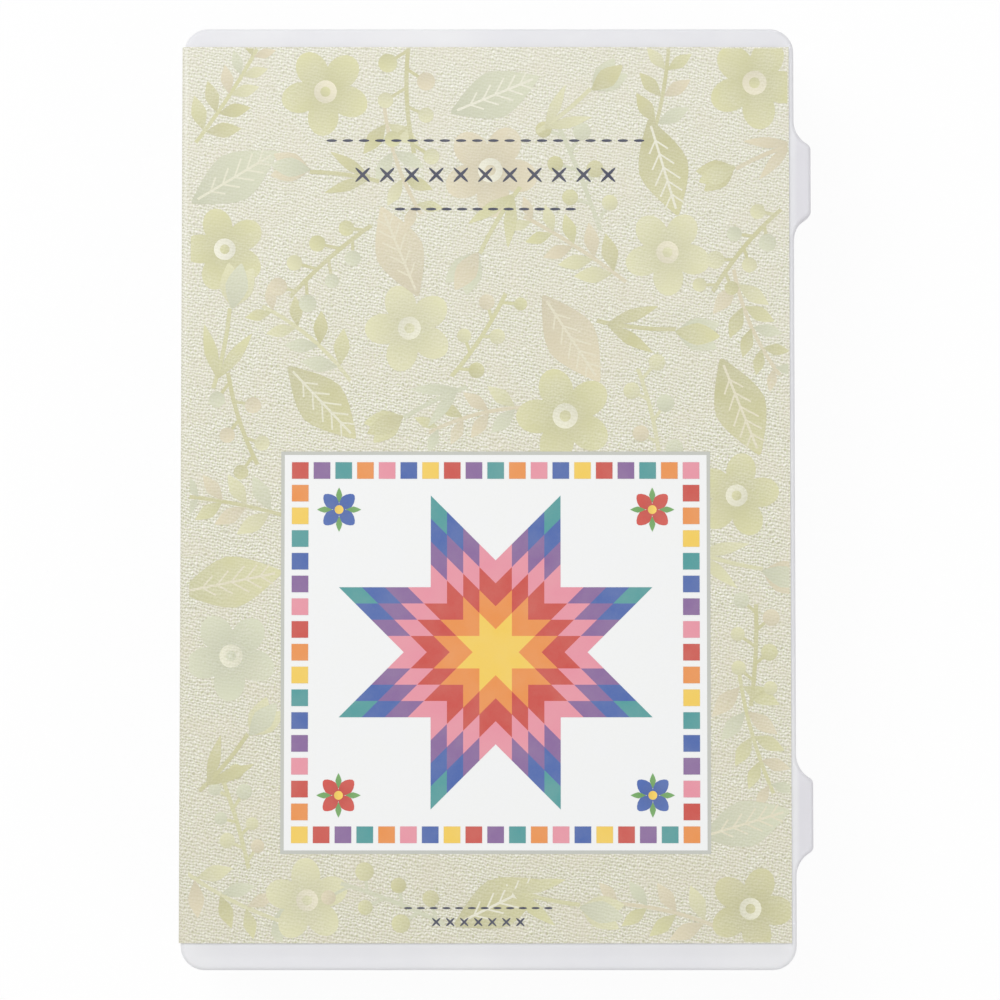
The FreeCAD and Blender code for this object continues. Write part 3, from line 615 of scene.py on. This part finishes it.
def card_finish():
    """Printed canvas on the outer faces and white paper on the others."""
    material, tree, shader = new_finish("printed_card")
    axes = axes_of(tree, object_place(tree))
    clouds, fibres = grained(tree, grain_scale=1800.0, cloud_scale=25.0)
    core = mix(tree, fibres, CORE_DARK, CORE_LIGHT)
    # A pale line is painted over the ink along the fold, stronger towards one end.
    ink = mix(tree, fold_pale_share(tree, axes), canvas_colour(tree, unrolled(tree, axes)), FOLD_LINE_TONE)
    facing = axes_of(tree, tree.nodes.new("ShaderNodeTexCoord").outputs["Normal"])
    outward = maths(tree, "MAXIMUM", facing["Y"], facing["Z"])
    has_ink = maths(tree, "GREATER_THAN", outward, PRINTED_TILT)
    feed(tree, shader, {
        "Base Color": mix(tree, has_ink, core, ink),
        "Roughness": between(tree, clouds, 0.42, 0.55),
        "Normal": bump(tree, fibres, distance=0.00002, strength=0.25),
        "Specular IOR Level": 0.35})
    return material


printed_card = card_finish()
dress(printed_card, "printed_card")
print("finish:", printed_card.name)

# %% [markdown]
# ## Ink
# What is printed on the card and on the chart is modelled as thin closed plates of ink, a hundredth
# of a millimetre thick, which lie on the paper. A painted texture would be flatter still, but plates keep
# crisp edges in every view and need no image. Each shape carries its colour as an attribute, so one
# finish serves every colour. Pale ink is a wash: some of the canvas shows through it, in soft clouds.
# Full ink covers nearly everything.

# %% Ink finish
LEAST_WASH, GRAIN_WASH = 0.3, 0.4
PAPER_GROUND, GRAIN_TONE = paint(236, 234, 214), paint(196, 193, 165)


def ink_finish(name, wash, on_canvas):
    """A printed colour. The wash is how much of the canvas or the paper comes through."""
    material, tree, shader = new_finish(name)
    colour = add(tree, "ShaderNodeAttribute", attribute_name="ink").outputs["Color"]
    clouds, grain = grained(tree, grain_scale=1800.0, cloud_scale=130.0)
    ground = canvas_colour(tree, object_place(tree)) if on_canvas else PAPER_GROUND
    thin = mix(tree, between(tree, clouds, LEAST_WASH * wash, wash), colour, ground)
    grainy = mix(tree, maths(tree, "MULTIPLY", grain, GRAIN_WASH * wash), thin, GRAIN_TONE)
    feed(tree, shader, {
        "Base Color": grainy,
        "Roughness": between(tree, clouds, 0.42, 0.55),
        "Normal": bump(tree, grain, distance=0.00001, strength=0.2),
        "Specular IOR Level": 0.35})
    return material


pale_ink = ink_finish("pale_ink", wash=0.4, on_canvas=True)
full_ink = ink_finish("full_ink", wash=0.08, on_canvas=False)
print("inks:", pale_ink.name, full_ink.name)

# %% [markdown]
# Where shapes overlap, equal heights would leave it open which one is on top. One could stack them in
# layers by hand, but that is easily forgotten. So each new shape is half a thousandth of a millimetre
# higher than the one before, and motifs that lie side by side start at different heights. The shapes
# are drawn flat as one sees them, right and up, and are turned into place when the drawing is done.

# %% Coloured shapes
LIFT = 0.0000005
MOTIF_STEPS, MOTIF_BANDS = 15, 5


class Heights:
    """Gives each new shape its height, one step above the shape before it."""

    def __init__(self):
        self.step = 0

    def start(self, motif=0):
        """Counts on from one of a few bands of steps."""
        self.step = MOTIF_STEPS * (motif % MOTIF_BANDS)

    def take(self):
        """The height of the next shape."""
        height = LIFT * self.step
        self.step += 1
        return height


heights = Heights()


def colour_shape(bm, verts, colour, matrix, fade=0.0):
    """Moves a new shape into place, turns it face up and gives it a colour that may fade along it."""
    shades = {vert: 1 + fade * vert.co.x for vert in verts}
    lift = Matrix.Translation((0, 0, heights.take()))
    bmesh.ops.transform(bm, matrix=lift @ matrix, verts=verts)
    layer = bm.loops.layers.float_color["ink"]
    for face in {face for vert in verts for face in vert.link_faces}:
        face.normal_update()
        if face.normal.z < 0:
            face.normal_flip()
        for loop in face.loops:
            shade = shades[loop.vert]
            loop[layer] = (*(shade * part for part in colour[:3]), 1.0)


print(f"shapes: {LIFT * 1e6:.1f} thousandths of a millimetre apart")

# %% [markdown]
# Two makers are enough for all motifs: an oval, which can be drawn out to a leaf, and a strip, which
# can be bent to a bow. Both start from a ready-made circle or grid, so no corner is listed by hand.

# %% Ovals and strips
FADE = 0.24
LEAF_TAPER = 1.5
BOW_PIECES = 10


def placed(place, turn=0.0, size=(1.0, 1.0)):
    """A matrix that sizes, turns and moves a shape in the plane."""
    return (Matrix.Translation((*place, 0)) @ Matrix.Rotation(turn, 4, "Z")
            @ Matrix.Diagonal((*size, 1, 1)))


def oval(bm, colour, matrix, sides=18, point=0.0):
    """An oval of unit size. A point above 0 draws its ends out as on a leaf."""
    verts = bmesh.ops.create_circle(bm, cap_ends=True, cap_tris=True, segments=sides, radius=0.5)["verts"]
    for vert in verts:
        vert.co.y *= 1 - point * abs(2 * vert.co.x) ** LEAF_TAPER
    colour_shape(bm, verts, colour, matrix, FADE)


def strip(bm, colour, length, width, matrix, bend=0.0):
    """A straight strip, or a bow whose middle line rises with the square of the way along it."""
    pieces = BOW_PIECES if bend else 1
    verts = bmesh.ops.create_grid(bm, x_segments=pieces, y_segments=1, size=0.5)["verts"]
    for vert in verts:
        vert.co.x *= length
        vert.co.y = vert.co.y * width + bend * vert.co.x ** 2
    colour_shape(bm, verts, colour, matrix)


print("shape makers: placed, oval and strip")

# %% [markdown]
# A finished drawing becomes one piece. A Solidify modifier gives it the thickness of ink, and it rides
# on the lid, so that it swings with the card. A drawing on the card is turned by a quarter, because its
# up is the box's +X, and drawings that lie on each other are some hundredths of a millimetre apart.

# %% Printing
INK = 0.00001
LAYER = 0.000045


def new_print():
    """An empty drawing whose faces can carry a colour."""
    heights.start()
    bm = bmesh.new()
    bm.loops.layers.float_color.new("ink")
    return bm


def print_piece(name, bm, material, matrix):
    """Makes a drawn print into a thin plate that rides on the lid."""
    bmesh.ops.transform(bm, matrix=matrix, verts=bm.verts[:])
    piece = new_piece(name, bm, material)
    plate = piece.modifiers.new("ink_thickness", "SOLIDIFY")
    plate.thickness = INK
    plate.offset = 1.0
    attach(piece, "lid")
    print(name, "has", len(piece.data.polygons), "faces")


def on_card(layer):
    """From the drawing to the card's face, so many layers of ink above it."""
    turned = Matrix.Rotation(-math.pi / 2, 4, "Z")
    return Matrix.Translation((0, 0, card_high.z + layer * LAYER)) @ turned


print(f"printing: ink {INK * 1000:.3f} mm thick, layers {LAYER * 1000:.3f} mm apart")

# %% [markdown]
# ## Pale motifs
# The canvas is strewn with large pale motifs in olive and straw tones, a little darker or lighter than
# the cloth. They are garden motifs: leafy sprigs, blossoms, twigs with berries, broad leaves and tulips.
# Each has a maker of its own, which draws one along +X with a seeded random source, so that no two are
# alike and all come out the same at every run. Leaves, petals and berries are sized as shares of their
# motif's length, and stems and veins have a width of their own in metres.
#
# A sprig is a bent stem with pairs of leaves. The stem is a bow, so the place and the slope of a leaf's
# root follow from the same square.

# %% Leafy sprigs
OLIVES = (paint(205, 203, 155), paint(213, 211, 171), paint(197, 194, 146), paint(214, 203, 175),
          paint(204, 207, 182))
SPRIG_BEND, LEAF_LEAN = (0.08, 0.25), (0.7, 0.95)
LEAF_LENGTH, LEAF_LOSS, LEAF_WIDTH, LEAF_MIDDLE = 0.32, 0.09, 0.44, 0.55
LEAF_PAIRS, ROOT_SHIFT = (4, 5), 0.6


def ray(turn, reach):
    """A step of a given reach in a given direction."""
    return reach * Vector((math.cos(turn), math.sin(turn)))


def leafy_sprig(bm, dice, matrix, length, stem=0.0011):
    """A bent stem with pairs of leaves that get smaller towards the tip."""
    bend = dice.uniform(*SPRIG_BEND) / length
    pairs = dice.choice(LEAF_PAIRS)
    strip(bm, dice.choice(OLIVES), length, stem, matrix, bend)
    for pair in range(pairs):
        along = length * ((pair + ROOT_SHIFT) / pairs - 0.5)
        root = Vector((along, bend * along ** 2))
        leaf = LEAF_LENGTH * length * (1 - LEAF_LOSS * pair)
        leaf_size = (leaf, LEAF_WIDTH * leaf)
        for side in (-1, 1):
            turn = math.atan(2 * bend * along) + side * dice.uniform(*LEAF_LEAN)
            middle = root + ray(turn, LEAF_MIDDLE * leaf)
            oval(bm, dice.choice(OLIVES), matrix @ placed(middle, turn, leaf_size), point=0.75)


print("motif: leafy sprig in", len(OLIVES), "olive tones")

# %% [markdown]
# A twig has the same bent stem, with round berries on stalks to both sides by turns.

# %% Berry twigs
TWIG_BEND, STALK_LEAN = (0.05, 0.2), (0.8, 1.1)
STALK_LENGTH, BERRY_WIDTH, BERRY_COUNTS = (0.16, 0.22), (0.13, 0.17), (5, 6, 7)


def berry_twig(bm, dice, matrix, length, stem=0.0012, stalk=0.0009):
    """A bent twig with round berries on short stalks."""
    tone = dice.choice(OLIVES)
    bend = dice.uniform(*TWIG_BEND) / length
    strip(bm, tone, length, stem, matrix, bend)
    berries = dice.choice(BERRY_COUNTS)
    for berry in range(berries):
        along = length * ((berry + 0.5) / berries - 0.5)
        root = Vector((along, bend * along ** 2))
        turn = (1 if berry % 2 else -1) * dice.uniform(*STALK_LEAN)
        reach = dice.uniform(*STALK_LENGTH) * length
        strip(bm, tone, reach, stalk, matrix @ placed(root + ray(turn, 0.5 * reach), turn))
        width = dice.uniform(*BERRY_WIDTH) * length
        oval(bm, dice.choice(OLIVES), matrix @ placed(root + ray(turn, reach), 0.0, (width, width)))


print("motif: berry twig with", BERRY_COUNTS[0], "to", BERRY_COUNTS[-1], "berries")

# %% [markdown]
# A blossom is a ring of five petals with an eye, and a tulip is three pointed petals and two long
# leaves on a stem. Both are ovals at different turns, drawn from the back to the front.

# %% Blossoms and tulips
STRAWS = (paint(228, 226, 204), paint(233, 231, 214), paint(226, 219, 194))
PETALS, PETAL_MIDDLE, PETAL_LENGTH, PETAL_WIDTH = 5, 0.3, 0.44, 0.36
EYE_WIDTH, PUPIL_WIDTH = 0.27, 0.12
TULIP_LEAN = 0.45


def blossom(bm, dice, matrix, width):
    """Five round petals about a pale eye."""
    tone = dice.choice(OLIVES)
    petal_size = (PETAL_LENGTH * width, PETAL_WIDTH * width)
    for petal in range(PETALS):
        turn = 2 * math.pi * petal / PETALS
        oval(bm, tone, matrix @ placed(ray(turn, PETAL_MIDDLE * width), turn, petal_size))
    eye, pupil = EYE_WIDTH * width, PUPIL_WIDTH * width
    oval(bm, dice.choice(STRAWS), matrix @ placed((0, 0), 0.0, (eye, eye)))
    oval(bm, tone, matrix @ placed((0, 0), 0.0, (pupil, pupil)))


def tulip(bm, dice, matrix, length, stem=0.0012):
    """Three pointed petals on a bent stem with two long leaves."""
    green, outer, inner = dice.sample(OLIVES, 3)
    foot, cup = Vector((-0.42 * length, 0)), Vector((0.12 * length, 0))
    leaf_size, petal_size = (0.42 * length, 0.1 * length), (0.34 * length, 0.17 * length)
    stem_middle, front_petal = (-0.2 * length, 0), (0.27 * length, 0)
    strip(bm, green, 0.6 * length, stem, matrix @ placed(stem_middle), 0.2 / length)
    for side in (-1, 1):
        turn = side * TULIP_LEAN
        leaf, petal = foot + ray(turn, 0.2 * length), cup + ray(0.6 * turn, 0.15 * length)
        oval(bm, green, matrix @ placed(leaf, turn, leaf_size), point=0.7)
        oval(bm, outer, matrix @ placed(petal, 0.7 * turn, petal_size), point=0.6)
    oval(bm, inner, matrix @ placed(front_petal, 0.0, petal_size), point=0.6)


print("motifs: blossom and tulip, with", len(STRAWS), "straw tones for the eyes")

# %% [markdown]
# A broad leaf is one large oval. Its rib and its side veins are thin pale strips on top of it, and the
# veins get shorter towards both ends.

# %% Broad leaves
VEINS_EACH_WAY = 2
RIB_LENGTH, VEIN_STEP, VEIN_LENGTH, VEIN_LOSS, VEIN_LEAN = 0.86, 0.14, 0.2, 0.025, 0.7


def broad_leaf(bm, dice, matrix, length, rib_width=0.0007, vein_width=0.0005):
    """One large leaf with a pale rib and side veins."""
    leaf_size = (length, length / 2)
    oval(bm, dice.choice(OLIVES), matrix @ placed((0, 0), 0.0, leaf_size), sides=28, point=0.7)
    rib = dice.choice(STRAWS)
    strip(bm, rib, RIB_LENGTH * length, rib_width, matrix)
    for vein in range(-VEINS_EACH_WAY, VEINS_EACH_WAY + 1):
        for side in (-1, 1):
            turn = side * VEIN_LEAN
            start = Vector((VEIN_STEP * vein * length, 0))
            reach = length * (VEIN_LENGTH - VEIN_LOSS * abs(vein))
            strip(bm, rib, reach, vein_width, matrix @ placed(start + ray(turn, 0.5 * reach), turn))


print("motif: broad leaf with", 2 * VEINS_EACH_WAY + 1, "pairs of veins")

# %% [markdown]
# One motif in each cell of a loose grid keeps them evenly spread, and the random source turns and
# shifts them, so that they look strewn. The place of the panel stays free. What reaches past the card
# is cut off along its edges with four planes, as a print is trimmed.

# %% Strew the motifs
MOTIFS = ((leafy_sprig, 0.034), (blossom, 0.025), (berry_twig, 0.03), (broad_leaf, 0.028), (tulip, 0.036))
MOTIF_COLUMNS, MOTIF_ROWS, STREW_SEED = 7, 11, 11
SHIFT_LOW, SHIFT_HIGH = 0.38, 0.62
SIZE_LOW, SIZE_HIGH = 0.9, 1.1
CARD_EDGE, FOLD_EDGE = 0.0004, 0.0028
PANEL_MIDDLE = Vector((0.002, -0.045))
PANEL_WIDTH, PANEL_HEIGHT = 0.124, 0.116

card_left, card_right = -card_high.y + FOLD_EDGE, -card_low.y - CARD_EDGE
card_bottom, card_top = card_low.x + CARD_EDGE, card_high.x - CARD_EDGE
cell = Vector(((card_right - card_left) / MOTIF_COLUMNS, (card_top - card_bottom) / MOTIF_ROWS))
dice = random.Random(STREW_SEED)
motifs = new_print()
for motif_row in range(MOTIF_ROWS):
    for motif_column in range(MOTIF_COLUMNS):
        middle = Vector((card_left + (motif_column + dice.uniform(SHIFT_LOW, SHIFT_HIGH)) * cell.x,
                         card_bottom + (motif_row + dice.uniform(SHIFT_LOW, SHIFT_HIGH)) * cell.y))
        turn = dice.uniform(0, 2 * math.pi)
        maker, size = MOTIFS[(2 * motif_row + motif_column) % len(MOTIFS)]
        off_panel = middle - PANEL_MIDDLE
        if abs(off_panel.x) < PANEL_WIDTH / 2 and abs(off_panel.y) < PANEL_HEIGHT / 2:
            continue
        heights.start(motif_row * MOTIF_COLUMNS + motif_column)
        maker(motifs, dice, placed(middle, turn), size * dice.uniform(SIZE_LOW, SIZE_HIGH))
for edge_place, outward in (((card_left, 0, 0), (-1, 0, 0)), ((card_right, 0, 0), (1, 0, 0)),
                            ((0, card_bottom, 0), (0, -1, 0)), ((0, card_top, 0), (0, 1, 0))):
    bmesh.ops.bisect_plane(motifs, geom=motifs.verts[:] + motifs.edges[:] + motifs.faces[:],
                           plane_co=edge_place, plane_no=outward, clear_outer=True)
print_piece("card_motifs", motifs, pale_ink, on_card(0))

# %% [markdown]
# ## The star panel
# The lower half of the card carries a bright picture on white. A quilt star is a fitting one for a
# sewing box. The panel itself is two strips: a grey one, and a white one on top that leaves a narrow
# grey edge. They are pieces of their own, because each lies a layer above what it covers.

# %% Panel
PANEL_GREY, PANEL_WHITE = paint(190, 192, 186), paint(238, 239, 240)
PANEL_EDGES = 0.002

panel = placed(PANEL_MIDDLE)
ground = new_print()
strip(ground, PANEL_GREY, PANEL_WIDTH, PANEL_HEIGHT, panel)
print_piece("card_panel_edge", ground, full_ink, on_card(1))
field = new_print()
strip(field, PANEL_WHITE, PANEL_WIDTH - PANEL_EDGES, PANEL_HEIGHT - PANEL_EDGES, panel)
print_piece("card_panel_field", field, full_ink, on_card(2))

# %% [markdown]
# The star is eight large diamonds about a centre, each pieced from small diamonds whose colours go
# round in rings. One large diamond is a square grid that a matrix shears, so the star needs no list of
# corners, and a small diamond's ring is its place along the two sides of the grid added up.

# %% Quilt star
QUILT = (paint(238, 200, 84), paint(229, 140, 66), paint(197, 66, 60), paint(226, 142, 160),
         paint(128, 92, 150), paint(58, 92, 166), paint(66, 148, 150))
STAR_POINTS, STAR_PIECES = 8, 4
STAR_SIDE = 0.0265

star = new_print()
ink_layer = star.loops.layers.float_color["ink"]
for diamond in range(STAR_POINTS):
    first, second = (ray(2 * math.pi / STAR_POINTS * (diamond + step), STAR_SIDE) for step in (0, 1))
    shear = Matrix(((first.x, second.x, 0, 0), (first.y, second.y, 0, 0), (0, 0, 1, 0), (0, 0, 0, 1)))
    verts = bmesh.ops.create_grid(star, x_segments=STAR_PIECES, y_segments=STAR_PIECES, size=0.5)["verts"]
    faces = {face for vert in verts for face in vert.link_faces}
    rings = {face: round(sum(face.calc_center_median()[:2]) * STAR_PIECES) + STAR_PIECES - 1
             for face in faces}
    colour_shape(star, verts, PANEL_WHITE, panel @ shear @ Matrix.Translation((0.5, 0.5, 0)))
    for face, ring in rings.items():
        for loop in face.loops:
            loop[ink_layer] = QUILT[ring % len(QUILT)]
print_piece("card_star", star, full_ink, on_card(3))

# %% [markdown]
# A row of small squares in the star's colours frames the panel. Their number follows from the panel's
# size, so that the gaps come out even on all four sides.

# %% Framing squares
FRAME_SQUARE = 0.0048
SQUARE_PITCH = 1.35 * FRAME_SQUARE
FRAME_MARGINS, CENTRE_MARGINS = 0.006, 0.011

trim = new_print()
columns = int((PANEL_WIDTH - FRAME_MARGINS) / SQUARE_PITCH)
rows = int((PANEL_HEIGHT - FRAME_MARGINS) / SQUARE_PITCH)
x_step, y_step = (PANEL_WIDTH - CENTRE_MARGINS) / columns, (PANEL_HEIGHT - CENTRE_MARGINS) / rows
for trim_row in range(rows + 1):
    for trim_column in range(columns + 1):
        if trim_row not in (0, rows) and trim_column not in (0, columns):
            continue
        middle = Vector(((trim_column - columns / 2) * x_step, (trim_row - rows / 2) * y_step))
        tone = QUILT[(trim_row + 2 * trim_column) % len(QUILT)]
        strip(trim, tone, FRAME_SQUARE, FRAME_SQUARE, panel @ placed(middle))
print("frame:", columns + 1, "by", rows + 1, "squares")

# %% [markdown]
# A small blossom fills each corner of the panel: four petals and four green leaves by turns, with a
# yellow eye, red and blue on opposite corners. They lie on the same layer as the squares and join them
# in one piece.

# %% Corner blossoms
RED, BLUE, YELLOW, LEAF_GREEN = QUILT[2], QUILT[5], QUILT[0], paint(104, 158, 88)
CORNER_X, CORNER_Y = 0.365 * PANEL_WIDTH, 0.355 * PANEL_HEIGHT
PETAL_REACH, PETAL_SIZE = 0.0032, (0.0058, 0.004)
LEAF_REACH, LEAF_SIZE = 0.0042, (0.0044, 0.0018)
EYE_SIZE = (0.0026, 0.0026)

for x_side in (-1, 1):
    for y_side in (-1, 1):
        corner = Vector((x_side * CORNER_X, y_side * CORNER_Y))
        heights.start()
        for quarter in range(4):
            leaf_turn = quarter * math.pi / 2
            turn = leaf_turn + math.pi / 4
            oval(trim, RED if x_side == y_side else BLUE,
                 panel @ placed(corner + ray(turn, PETAL_REACH), turn, PETAL_SIZE), sides=14, point=0.3)
            oval(trim, LEAF_GREEN, panel @ placed(corner + ray(leaf_turn, LEAF_REACH), leaf_turn, LEAF_SIZE),
                 sides=12, point=0.8)
        oval(trim, YELLOW, panel @ placed(corner, 0.0, EYE_SIZE), sides=12)
print_piece("card_panel_trim", trim, full_ink, on_card(3))

# %% [markdown]
# ## Stitched bands
# Dark blue bands mark the upper part of the card and its lower edge. They could be plain lines, but
# needlework suits the box better: rows of running stitch, and crosses of two stitches each.

# %% Stitched bands
NAVY = paint(42, 47, 78)
STITCH_SIDES = 12
STITCH_PITCH, CROSS_PITCH, CROSS_LENGTH = 1.45, 1.55, 1.3
UPPER_MIDDLE, UPPER_ROWS = -0.001, (0.1035, 0.0935, 0.0835)
LOWER_MIDDLE, LOWER_ROWS = -0.003, (-0.1185, -0.1225)


def running_stitch(bm, middle, width, stitch=0.0031, thick=0.0008):
    """A row of stitches with gaps of about half a stitch."""
    count = int(width / (STITCH_PITCH * stitch))
    for number in range(count):
        along = (number - (count - 1) / 2) * width / count
        oval(bm, NAVY, placed(middle + Vector((along, 0)), 0.0, (stitch, thick)), STITCH_SIDES)


def cross_stitches(bm, middle, count, size, thick=0.0009):
    """A row of crosses with gaps of about half a cross."""
    for number in range(count):
        cross = middle + Vector(((number - (count - 1) / 2) * CROSS_PITCH * size, 0))
        for turn in (-math.pi / 4, math.pi / 4):
            oval(bm, NAVY, placed(cross, turn, (CROSS_LENGTH * size, thick)), STITCH_SIDES)


long_row, cross_row, short_row = (Vector((UPPER_MIDDLE, row)) for row in UPPER_ROWS)
edge_row, edge_crosses = (Vector((LOWER_MIDDLE, row)) for row in LOWER_ROWS)
stitches = new_print()
running_stitch(stitches, long_row, width=0.094)
cross_stitches(stitches, cross_row, count=11, size=0.0046)
running_stitch(stitches, short_row, width=0.054)
running_stitch(stitches, edge_row, width=0.044, stitch=0.0024, thick=0.0006)
cross_stitches(stitches, edge_crosses, count=7, size=0.0026, thick=0.0006)
print_piece("card_stitches", stitches, full_ink, on_card(1))

# %% [markdown]
# ## The ruled chart
# The sheet inside the lid is ruled as a table: a column for each column of the tray, three bands for
# its rows, each with a heavy line on top, and light lines to write on. It is read with the lid open,
# so it is drawn as the reader sees it, up towards the lid's free edge, and then turned face down under
# the sheet.

# %% Ruled chart
CHART_COLUMNS, CHART_BANDS, BAND_LINES = 6, 3, 6
HEAD, FOOT, LINE_MARGINS = 0.0085, 0.0085, 0.002
HEAVY, FINE, LIGHT = 0.0008, 0.0006, 0.00035
LINE_GREY = paint(160, 160, 158)

chart_low, chart_high = (Vector(corner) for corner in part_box("reference_chart"))
chart_width, chart_height = chart_high.x - chart_low.x, chart_high.y - chart_low.y
table_top, table_bottom = chart_height / 2 - HEAD, -chart_height / 2 + FOOT
table_height, table_middle = table_top - table_bottom, (table_top + table_bottom) / 2
line_count = CHART_BANDS * BAND_LINES
ruling = new_print()
for line in range(line_count + 1):
    down = table_height * line / line_count
    band_top = line % BAND_LINES == 0 and line < line_count
    tone, width = (NAVY, HEAVY) if band_top else (LINE_GREY, LIGHT)
    strip(ruling, tone, chart_width - LINE_MARGINS, width, placed((0, table_top - down)))
for line in range(1, CHART_COLUMNS):
    across = (line / CHART_COLUMNS - 0.5) * chart_width
    strip(ruling, NAVY, FINE, table_height, placed((across, table_middle)))
under_chart = Matrix.Translation(((chart_low.x + chart_high.x) / 2, (chart_low.y + chart_high.y) / 2,
                                  chart_low.z)) @ Matrix.Rotation(math.pi, 4, "X")
print_piece("chart_ruling", ruling, full_ink, under_chart)
